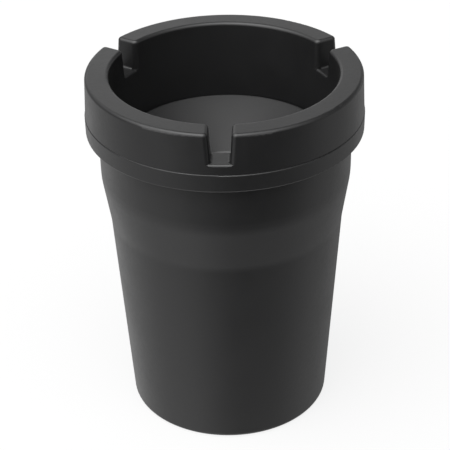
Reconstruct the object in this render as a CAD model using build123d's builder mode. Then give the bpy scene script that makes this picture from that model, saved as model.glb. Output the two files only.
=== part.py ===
"""Bucket ashtray: a tapered cup with a lift-off lid.

The cup is a drafted tub with a flared shoulder band and a hollow collar round
its mouth.  The lid is a deep hollow ring with three cigarette rests.  A soft
ring in a groove round the lid's plug holds it in the cup's mouth.  A loose
funnel sits on a ledge in the lid and drops the butts through a snuffer tube.

Millimetres, +Z up, origin at the centre of the underside.  The front rest
faces -Y.
"""
import os

from build123d import *

os.makedirs("parts", exist_ok=True)

# ---------------------------------------------------------------- dimensions
height = 127.0            # overall, base to the top of the rim

# cup
draft = 0.0698            # taper of the lower wall, radius per mm of height
base_r = 35.18            # outer radius where the wall meets the table
base_round = 1.6
band_z0, band_r0 = 73.6, 40.32     # lower edge of the shoulder band
band_z1, band_r1 = 90.2, 42.90     # upper edge of the shoulder band
band_blend_low, band_blend_high = 26.0, 30.0
neck_r = 43.10            # upright wall under the collar
wall = 2.0
bore_z, bore_r = 97.0, 41.05       # the mouth's bore is upright above bore_z
foot_in_r = 31.2          # inside of the ring the cup stands on
foot_lift = 1.2           # recess under the base
floor_z = 3.2             # inside floor
collar_z0, collar_z1 = 106.8, 113.1
collar_r0, collar_r1 = 47.15, 47.25   # outer radius, bottom and top
collar_skin, collar_plate = 1.6, 2.0

# lid rim
lid_z0 = 113.1            # the skirt stands on the collar
lid_r0, lid_r1 = 47.05, 46.50      # outer radius, bottom and top
lid_skin, lid_plate, lid_wall = 1.9, 2.1, 2.0
well_r1 = 38.50           # inside radius at the top
well_r0, well_z0 = 37.55, 99.4     # inside radius low in the well
top_round = 1.2
ledge_z1, ledge_z0 = 97.3, 95.5
ledge_r = 34.4

# groove round the plug, and the soft ring in it
groove_z0, groove_z1 = 106.0, 109.4
groove_r = 39.25
flange_t, flange_r = 1.3, 40.40
seal_r_in, seal_r_out = 39.60, 40.72
seal_gap = 0.15

# cigarette rests
rest_floor_z = 116.6
rest_half_bottom, rest_half_top = 3.1, 3.78
rest_round_out = 1.5      # upright corners at the outer end of a rest
rest_round_in = 1.8       # and at the well end
rest_corner = 0.8         # hollow blend from its floor to its walls
rest_lip_in = 0.8         # well end of its floor
rest_skin = 1.9

# funnel
funnel_r = 36.95
lip_z0 = 97.3             # its flat rim stands on the ledge
funnel_z = 100.0          # height of its edge
edge_round = 0.6
cone_slope = 0.4040       # 22 degrees
cone_skin = 1.9
throat_r, tube_skin = 11.0, 1.7
tube_z0 = 73.0


def well_r(z):
    """Inside radius of the lid's well at height z."""
    return well_r0 + (well_r1 - well_r0) * (z - well_z0) / (height - well_z0)


def skirt_r(z):
    """Outer radius of the lid's skirt at height z."""
    return lid_r0 + (lid_r1 - lid_r0) * (z - lid_z0) / (height - lid_z0)


def soften(sketch, r, z, radius):
    """Rounds the profile corner nearest to (r, z)."""
    corner = sketch.vertices().sort_by_distance(Vector(r, z, 0))[0]
    fillet(corner, radius)


# ---------------------------------------------------------------------- cup
under_plate = collar_z1 - collar_plate
floor_r = base_r + draft * floor_z - wall
with BuildPart() as cup:
    with BuildSketch(Plane.XZ) as cup_profile:
        with BuildLine():
            Polyline(
                (0, foot_lift),
                (foot_in_r - 1.2, foot_lift),
                (foot_in_r, 0),
                (base_r, 0),
                (band_r0, band_z0),
                (band_r1, band_z1),
                (neck_r, under_plate),
                (collar_r0 - collar_skin, under_plate),
                (collar_r0 - collar_skin, collar_z0),
                (collar_r0, collar_z0),
                (collar_r1, collar_z1),
                (bore_r, collar_z1),
                (bore_r, bore_z),
                (band_r1 - wall, band_z1),
                (band_r0 - wall, band_z0),
                (floor_r, floor_z),
                (0, floor_z),
                (0, foot_lift),
            )
        make_face()
        soften(cup_profile, base_r, 0, base_round)
        soften(cup_profile, band_r0, band_z0, band_blend_low)
        soften(cup_profile, band_r1, band_z1, band_blend_high)
        soften(cup_profile, band_r0 - wall, band_z0, band_blend_low)
        soften(cup_profile, band_r1 - wall, band_z1, band_blend_high)
        soften(cup_profile, floor_r, floor_z, 3.0)
        soften(cup_profile, foot_in_r, 0, 0.5)
        soften(cup_profile, foot_in_r - 1.2, foot_lift, 0.8)
        soften(cup_profile, collar_r0, collar_z0, 0.5)
        soften(cup_profile, collar_r0 - collar_skin, collar_z0, 0.4)
        soften(cup_profile, collar_r1, collar_z1, 0.35)
        soften(cup_profile, bore_r, collar_z1, 0.8)
        soften(cup_profile, neck_r, under_plate, 0.5)
    revolve(axis=Axis.Z)
cup.part.label = "cup"
export_step(cup.part, "parts/cup.step")

# ----------------------------------------------------------------- lid rim
plate_z = height - lid_plate
with BuildPart() as lid_rim:
    with BuildSketch(Plane.XZ) as rim_profile:
        with BuildLine():
            Polyline(
                (lid_r0, lid_z0),
                (lid_r1, height),
                (well_r1, height),
                (well_r(ledge_z1), ledge_z1),
                (ledge_r, ledge_z1),
                (ledge_r, ledge_z0),
                (well_r(ledge_z0) + lid_wall, ledge_z0),
                (well_r(groove_z0 - flange_t) + lid_wall, groove_z0 - flange_t),
                (flange_r, groove_z0 - flange_t),
                (flange_r, groove_z0),
                (groove_r, groove_z0),
                (groove_r, groove_z1),
                (flange_r, groove_z1),
                (flange_r, groove_z1 + flange_t),
                (well_r(groove_z1 + flange_t) + lid_wall, groove_z1 + flange_t),
                (well_r(plate_z) + lid_wall, plate_z),
                (skirt_r(plate_z) - lid_skin, plate_z),
                (lid_r0 - lid_skin, lid_z0),
                (lid_r0, lid_z0),
            )
        make_face()
        soften(rim_profile, lid_r0, lid_z0, 0.15)
        soften(rim_profile, lid_r0 - lid_skin, lid_z0, 0.3)
        soften(rim_profile, well_r(ledge_z0) + lid_wall, ledge_z0, 0.8)
        soften(rim_profile, ledge_r, ledge_z1, 0.3)
        soften(rim_profile, ledge_r, ledge_z0, 0.4)
        soften(rim_profile, flange_r, groove_z0 - flange_t, 0.4)
        soften(rim_profile, flange_r, groove_z1 + flange_t, 0.4)
        soften(rim_profile, well_r(plate_z) + lid_wall, plate_z, 0.5)
        soften(rim_profile, skirt_r(plate_z) - lid_skin, plate_z, 0.5)
    revolve(axis=Axis.Z)

    # each rest has its own walls and floor, which bridge the hollow ring
    block_in, block_out = well_r1 + 0.9, lid_r0 - 1.2
    block_z = rest_floor_z - rest_skin
    for turn in (0, 120, 240):
        rest_plane = Plane(
            origin=(0, 0, block_z),
            x_dir=Vector(1, 0, 0).rotate(Axis.Z, turn),
            z_dir=(0, 0, 1),
        )
        with BuildSketch(rest_plane):
            with Locations((0, -(block_out + block_in) / 2)):
                Rectangle(2 * (rest_half_top + rest_skin), block_out - block_in)
        extrude(amount=plate_z + 0.2 - block_z)

    # the drafted slots themselves
    over = height + 2.0
    lean = (rest_half_top - rest_half_bottom) / (height - rest_floor_z)
    half_over = rest_half_bottom + lean * (over - rest_floor_z)
    for turn in (0, 120, 240):
        across = Vector(1, 0, 0).rotate(Axis.Z, turn)
        outward = Vector(0, -1, 0).rotate(Axis.Z, turn)
        slot_plane = Plane(origin=outward * 34.0, x_dir=across, z_dir=outward)
        with BuildSketch(slot_plane) as slot_profile:
            with BuildLine():
                Polyline(
                    (-half_over, over),
                    (-rest_half_bottom, rest_floor_z),
                    (rest_half_bottom, rest_floor_z),
                    (half_over, over),
                    (-half_over, over),
                )
            make_face()
        extrude(amount=16.0, mode=Mode.SUBTRACT)

    # round the upright corners at both ends of every rest, then the top edges
    def rest_corners(low, high):
        """The slots' upright edges between two distances from the axis."""
        found = []
        for edge in lid_rim.edges():
            mid = edge.center()
            radius = (mid.X ** 2 + mid.Y ** 2) ** 0.5
            near = min(
                abs(mid.X * across.X + mid.Y * across.Y)
                for across in [Vector(1, 0, 0).rotate(Axis.Z, t) for t in (0, 120, 240)]
            )
            if (
                edge.bounding_box().size.Z > 5.0
                and mid.Z > rest_floor_z
                and low < radius < high
                and near < rest_half_top + 0.3
            ):
                found.append(edge)
        return found

    fillet(rest_corners(lid_r1 - 1.0, lid_r0 + 1.0), rest_round_out)
    fillet(rest_corners(well_r1 - 2.0, well_r1 + 1.0), rest_round_in)
    tops = lid_rim.edges().filter_by(
        lambda edge: abs(edge.center().Z - height) < 0.01
        and abs(edge.bounding_box().size.Z) < 0.01
    )
    fillet(tops, top_round)

    # a hollow blend along the foot of each wall
    tilt = (rest_half_top - rest_half_bottom) / (height - rest_floor_z)
    norm = (1 + tilt ** 2) ** 0.5
    foot = rest_corner * (norm - tilt)
    for turn in (0, 120, 240):
        across = Vector(1, 0, 0).rotate(Axis.Z, turn)
        outward = Vector(0, -1, 0).rotate(Axis.Z, turn)
        foot_plane = Plane(origin=outward * 39.8, x_dir=across, z_dir=outward)
        with BuildSketch(foot_plane):
            for side in (-1, 1):
                with BuildLine():
                    low = (side * (rest_half_bottom - foot), rest_floor_z)
                    high = (side * (rest_half_bottom + foot * tilt / norm),
                            rest_floor_z + foot / norm)
                    TangentArc(low, high, tangent=(side, 0))
                    Polyline(high, (side * 4.3, high[1]), (side * 4.3, rest_floor_z - 0.8),
                             (low[0], rest_floor_z - 0.8), low)
                make_face()
        extrude(amount=5.2)

    # round the outer end of every rest's floor, along straight lines that run
    # out where the skirt curves away from them, and then the well end
    lip_r = skirt_r(rest_floor_z)
    for turn in (0, 120, 240):
        across = Vector(1, 0, 0).rotate(Axis.Z, turn)
        outward = Vector(0, -1, 0).rotate(Axis.Z, turn)
        for half, lip in ((3.7, 0.9), (4.15, 0.45)):
            lip_plane = Plane(origin=across * half, x_dir=outward, z_dir=across * -1)
            with BuildSketch(lip_plane):
                with BuildLine():
                    top, side_point = (lip_r - lip, rest_floor_z), (lip_r, rest_floor_z - lip)
                    TangentArc(side_point, top, tangent=(0, 1))
                    Polyline(top, (lip_r + 1.5, rest_floor_z), (lip_r + 1.5, side_point[1]),
                             side_point)
                make_face()
            extrude(amount=2 * half, mode=Mode.SUBTRACT)

        edge_r = well_r(rest_floor_z)
        start = Vector(0, -1, 0).rotate(Axis.Z, turn - 5.2)
        well_plane = Plane(origin=(0, 0, 0), x_dir=start,
                           z_dir=start.rotate(Axis.Z, -90))
        with BuildSketch(well_plane):
            with BuildLine():
                top = (edge_r + rest_lip_in, rest_floor_z)
                side_point = (edge_r, rest_floor_z - rest_lip_in)
                TangentArc(side_point, top, tangent=(0, 1))
                Polyline(top, (edge_r - 1.0, rest_floor_z), (edge_r - 1.0, side_point[1]),
                         side_point)
            make_face()
        revolve(axis=Axis.Z, revolution_arc=10.4, mode=Mode.SUBTRACT)
lid_rim.part.label = "lid_rim"
export_step(lid_rim.part, "parts/lid_rim.step")

# ------------------------------------------------------------------ funnel
throat_z = funnel_z - cone_slope * (funnel_r - throat_r)
under = cone_skin * (1 + cone_slope ** 2) ** 0.5    # measured straight down
with BuildPart() as funnel:
    with BuildSketch(Plane.XZ) as funnel_profile:
        with BuildLine():
            Polyline(
                (throat_r, tube_z0),
                (throat_r, throat_z),
                (funnel_r, funnel_z),
                (funnel_r, lip_z0),
                (ledge_r - 0.5, lip_z0),
                (throat_r + tube_skin, throat_z + cone_slope * tube_skin - under),
                (throat_r + tube_skin, tube_z0),
                (throat_r, tube_z0),
            )
        make_face()
        soften(funnel_profile, throat_r, throat_z, 1.4)
        soften(funnel_profile, funnel_r, funnel_z, edge_round)
        soften(funnel_profile, throat_r + tube_skin,
               throat_z + cone_slope * tube_skin - under, 2.4)
        soften(funnel_profile, throat_r, tube_z0, 0.5)
        soften(funnel_profile, throat_r + tube_skin, tube_z0, 0.6)
    revolve(axis=Axis.Z)
funnel.part.label = "funnel"
export_step(funnel.part, "parts/funnel.step")

# ---------------------------------------------------------------- lid seal
seal_h = groove_z1 - groove_z0 - seal_gap
with BuildPart() as lid_seal:
    with BuildSketch(Plane.XZ) as seal_profile:
        with BuildLine():
            Polyline(
                (seal_r_in, groove_z0),
                (seal_r_out - 0.12, groove_z0),
                (seal_r_out, groove_z0 + 0.35 * seal_h),
                (seal_r_out, groove_z0 + 0.65 * seal_h),
                (seal_r_out - 0.12, groove_z0 + seal_h),
                (seal_r_in, groove_z0 + seal_h),
                (seal_r_in, groove_z0),
            )
        make_face()
    revolve(axis=Axis.Z)
lid_seal.part.label = "lid_seal"
export_step(lid_seal.part, "parts/lid_seal.step")
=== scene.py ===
import math
import bpy
from mathutils import Matrix, Vector

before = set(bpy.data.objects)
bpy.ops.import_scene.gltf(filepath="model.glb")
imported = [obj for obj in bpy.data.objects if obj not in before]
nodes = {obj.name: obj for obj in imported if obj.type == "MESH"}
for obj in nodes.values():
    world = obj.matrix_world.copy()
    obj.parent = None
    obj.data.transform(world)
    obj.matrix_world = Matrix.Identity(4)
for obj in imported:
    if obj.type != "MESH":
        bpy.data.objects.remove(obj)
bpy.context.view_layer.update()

scene = bpy.context.scene
scene.view_settings.view_transform = "Standard"


# --------------------------------------------------------------- materials
def tree(mat):
    mat.use_nodes = True
    nt = mat.node_tree
    nt.nodes.clear()
    out = nt.nodes.new("ShaderNodeOutputMaterial")
    bsdf = nt.nodes.new("ShaderNodeBsdfPrincipled")
    nt.links.new(bsdf.outputs["BSDF"], out.inputs["Surface"])
    return nt, bsdf


def noise(nt, coord, scale, detail, roughness, distortion=0.0):
    node = nt.nodes.new("ShaderNodeTexNoise")
    node.inputs["Scale"].default_value = scale
    node.inputs["Detail"].default_value = detail
    node.inputs["Roughness"].default_value = roughness
    node.inputs["Distortion"].default_value = distortion
    nt.links.new(coord.outputs["Object"], node.inputs["Vector"])
    return node


def ramp(nt, source, low, high, to_low, to_high):
    node = nt.nodes.new("ShaderNodeMapRange")
    node.inputs["From Min"].default_value = low
    node.inputs["From Max"].default_value = high
    node.inputs["To Min"].default_value = to_low
    node.inputs["To Max"].default_value = to_high
    nt.links.new(source, node.inputs["Value"])
    return node.outputs["Result"]


def math_node(nt, operation, *sources):
    node = nt.nodes.new("ShaderNodeMath")
    node.operation = operation
    for i, source in enumerate(sources):
        if isinstance(source, (int, float)):
            node.inputs[i].default_value = source
        else:
            nt.links.new(source, node.inputs[i])
    return node.outputs[0]


def moulded_plastic(name, dark, light, rough, grain=0.00045, depth=0.000024,
                    mottle=0.0013, ripple=0.000017, rub=0.10):
    """Satin black moulding: spark-eroded grain, a faint orange-peel mottle from the tool, slow flow
    clouds, and tight edges made smoother and painted lighter in noisy patches, partly rub marks and partly
    a painted highlight along the fillets."""
    mat = bpy.data.materials.new(name)
    nt, bsdf = tree(mat)
    coord = nt.nodes.new("ShaderNodeTexCoord")
    fine = noise(nt, coord, 1.0 / grain, 3.0, 0.6)
    peel = noise(nt, coord, 1.0 / mottle, 2.0, 0.5)
    cloud = noise(nt, coord, 85.0, 4.0, 0.55)
    scuff_and_sheen_noise = noise(nt, coord, 420.0, 5.0, 0.7, 0.6)

    # how sharply the surface turns here: 0 on flats, 1 on the tight edges
    edge = nt.nodes.new("ShaderNodeBevel")
    edge.samples = 6
    edge.inputs["Radius"].default_value = 0.0011
    geometry = nt.nodes.new("ShaderNodeNewGeometry")
    turn_by = nt.nodes.new("ShaderNodeVectorMath")
    turn_by.operation = "DOT_PRODUCT"
    nt.links.new(edge.outputs["Normal"], turn_by.inputs[0])
    nt.links.new(geometry.outputs["Normal"], turn_by.inputs[1])
    sharp = ramp(nt, turn_by.outputs["Value"], 0.995, 0.90, 0.0, 1.0)
    # mask of the tight edges broken into noisy patches: drives both the smoother rub and the painted edge
    # highlight
    worn_and_sheen = math_node(nt, "MULTIPLY", sharp, ramp(nt, scuff_and_sheen_noise.outputs["Fac"], 0.42, 0.62, 0.0, 1.0))

    tone = nt.nodes.new("ShaderNodeMixRGB")
    tone.inputs[1].default_value = (*dark, 1)
    tone.inputs[2].default_value = (*light, 1)
    nt.links.new(cloud.outputs["Fac"], tone.inputs[0])
    # painted highlight, partly rub marks: on the tight edges the base colour is lifted to 1.7x the light
    # tone
    rub_and_highlight_tint = nt.nodes.new("ShaderNodeMixRGB")
    rub_and_highlight_tint.inputs[2].default_value = (*[min(1.0, 1.7 * c) for c in light], 1)
    nt.links.new(tone.outputs[0], rub_and_highlight_tint.inputs[1])
    nt.links.new(worn_and_sheen, rub_and_highlight_tint.inputs[0])
    nt.links.new(rub_and_highlight_tint.outputs[0], bsdf.inputs["Base Color"])

    spread = math_node(nt, "ADD", ramp(nt, cloud.outputs["Fac"], 0.3, 0.7, rough - 0.025, rough + 0.025),
                       ramp(nt, peel.outputs["Fac"], 0.3, 0.7, -0.02, 0.02))
    nt.links.new(math_node(nt, "MULTIPLY_ADD", worn_and_sheen, -rub, spread), bsdf.inputs["Roughness"])

    swell = nt.nodes.new("ShaderNodeBump")
    swell.inputs["Strength"].default_value = 1.0
    swell.inputs["Distance"].default_value = ripple
    nt.links.new(peel.outputs["Fac"], swell.inputs["Height"])
    bump = nt.nodes.new("ShaderNodeBump")
    bump.inputs["Strength"].default_value = 0.6
    bump.inputs["Distance"].default_value = depth
    nt.links.new(fine.outputs["Fac"], bump.inputs["Height"])
    nt.links.new(swell.outputs["Normal"], bump.inputs["Normal"])
    nt.links.new(bump.outputs["Normal"], bsdf.inputs["Normal"])
    bsdf.inputs["IOR"].default_value = 1.49
    return mat


plastic = moulded_plastic("satin_black", (0.0075, 0.0075, 0.0078), (0.0105, 0.0105, 0.0108), 0.36)
# painted light: the funnel is the same satin black made lighter, standing in for the light that reaches
# the upward-facing well floor
funnel_lifted_mat = moulded_plastic("funnel_black_painted_light", (0.0110, 0.0110, 0.0113), (0.0145, 0.0145, 0.0148), 0.40)
seal_mat = moulded_plastic("seal_black", (0.006, 0.006, 0.006), (0.008, 0.008, 0.008), 0.7)
for name, mat in (("cup", plastic), ("lid_rim", plastic), ("funnel", funnel_lifted_mat), ("lid_seal", seal_mat)):
    mesh = nodes[name].data
    mesh.materials.clear()
    mesh.materials.append(mat)

# ------------------------------------------------------------------- floor
floor_mesh = bpy.data.meshes.new("floor")
s = 3.0
floor_mesh.from_pydata([(-s, -s, 0), (s, -s, 0), (s, s, 0), (-s, s, 0)], [], [(0, 1, 2, 3)])
floor = bpy.data.objects.new("floor", floor_mesh)
scene.collection.objects.link(floor)
floor_mat = bpy.data.materials.new("pale_floor")
nt, bsdf = tree(floor_mat)
bsdf.inputs["Base Color"].default_value = (0.12, 0.12, 0.12, 1)
bsdf.inputs["Roughness"].default_value = 0.9
bsdf.inputs["Specular IOR Level"].default_value = 0.0
bsdf.inputs["Emission Color"].default_value = (1, 1, 1, 1)
bsdf.inputs["Emission Strength"].default_value = 0.8
floor_mesh.materials.append(floor_mat)
for ray in ("diffuse", "glossy", "transmission", "shadow"):
    setattr(floor, "visible_" + ray, False)

# ------------------------------------------------------------------ camera
cam_data = bpy.data.cameras.new("camera")
camera = bpy.data.objects.new("camera", cam_data)
scene.collection.objects.link(camera)
scene.camera = camera
distance, aim_z = 0.5579, 0.06668
tilt, turn, roll = math.radians(31.09), math.radians(2.25), math.radians(-1.13)
cam_data.sensor_width = 36.0
cam_data.lens = 126.6
cam_data.shift_x = -2.03 / 450
flat = distance * math.cos(tilt)
place = Vector((flat * math.sin(turn), -flat * math.cos(turn), aim_z + distance * math.sin(tilt)))
look = (Vector((0, 0, aim_z)) - place).to_track_quat("-Z", "Y").to_matrix().to_4x4()
camera.matrix_world = Matrix.Translation(place) @ look @ Matrix.Rotation(roll, 4, "Z")

# ------------------------------------------------------------------- light
# A soft studio all round: broad glows, each at (azimuth from the camera's side
# towards +X, elevation, strength).  Glows below the horizon stand for what the
# pale table sends back up.
glows = [
    (-31, 63, 4.78),
    (21, 80, 3.44),
    (-84, 53, 2.52),
    (-39, 14, 1.79),
    (1, 47, 1.73),
    (-51, 40, 1.70),
    (54, 56, 1.13),
    (-34, -56, 1.07),
    (-2, -80, 1.05),
    (-116, 72, 0.89),
    (-156, 27, 0.88),
    (-176, 12, 0.86),
    (-19, 29, 0.78),
    (51, -63, 0.77),
    (-99, -31, 0.75),
    (34, 35, 0.75),
    (-71, 23, 0.70),
    (-67, -42, 0.63),
    (-152, -38, 0.59),
    (66, 25, 0.55),
    (-132, -21, 0.53),
    (-104, 33, 0.49),
    (91, -23, 0.48),
    (131, 6, 0.46),
    (143, -17, 0.42),
    (103, -53, 0.42),
    (-119, -50, 0.32),
    (-59, -1, 0.28),
    (-124, 17, 0.27),
    (163, -3, 0.24),
    (123, -33, 0.22),
    (99, 15, 0.18),
    (-47, -25, 0.16),
    (79, 1, 0.14),
    (156, -45, 0.13),
    (71, -40, 0.08),
    (171, 38, 0.06),
]
world = bpy.data.worlds.new("studio")
scene.world = world
world.use_nodes = True
nt = world.node_tree
nt.nodes.clear()
coord = nt.nodes.new("ShaderNodeTexCoord")
total = None
for az, el, strength in glows:
    az, el = math.radians(az), math.radians(el)
    dot = nt.nodes.new("ShaderNodeVectorMath")
    dot.operation = "DOT_PRODUCT"
    dot.inputs[1].default_value = (math.sin(az) * math.cos(el), -math.cos(az) * math.cos(el), math.sin(el))
    nt.links.new(coord.outputs["Generated"], dot.inputs[0])
    fall = nt.nodes.new("ShaderNodeMath")
    fall.operation = "MULTIPLY_ADD"
    fall.inputs[1].default_value = 14.0
    fall.inputs[2].default_value = -14.0
    nt.links.new(dot.outputs["Value"], fall.inputs[0])
    glow = nt.nodes.new("ShaderNodeMath")
    glow.operation = "EXPONENT"
    nt.links.new(fall.outputs[0], glow.inputs[0])
    add = nt.nodes.new("ShaderNodeMath")
    add.operation = "MULTIPLY_ADD"
    add.inputs[1].default_value = strength
    add.inputs[2].default_value = 0.0
    nt.links.new(glow.outputs[0], add.inputs[0])
    if total is not None:
        nt.links.new(total.outputs[0], add.inputs[2])
    total = add
studio = nt.nodes.new("ShaderNodeBackground")
nt.links.new(total.outputs[0], studio.inputs["Strength"])
backdrop = nt.nodes.new("ShaderNodeBackground")
backdrop.inputs["Strength"].default_value = 1.0
path = nt.nodes.new("ShaderNodeLightPath")
pick = nt.nodes.new("ShaderNodeMixShader")
nt.links.new(path.outputs["Is Camera Ray"], pick.inputs[0])
nt.links.new(studio.outputs[0], pick.inputs[1])
nt.links.new(backdrop.outputs[0], pick.inputs[2])
world_out = nt.nodes.new("ShaderNodeOutputWorld")
nt.links.new(pick.outputs[0], world_out.inputs["Surface"])
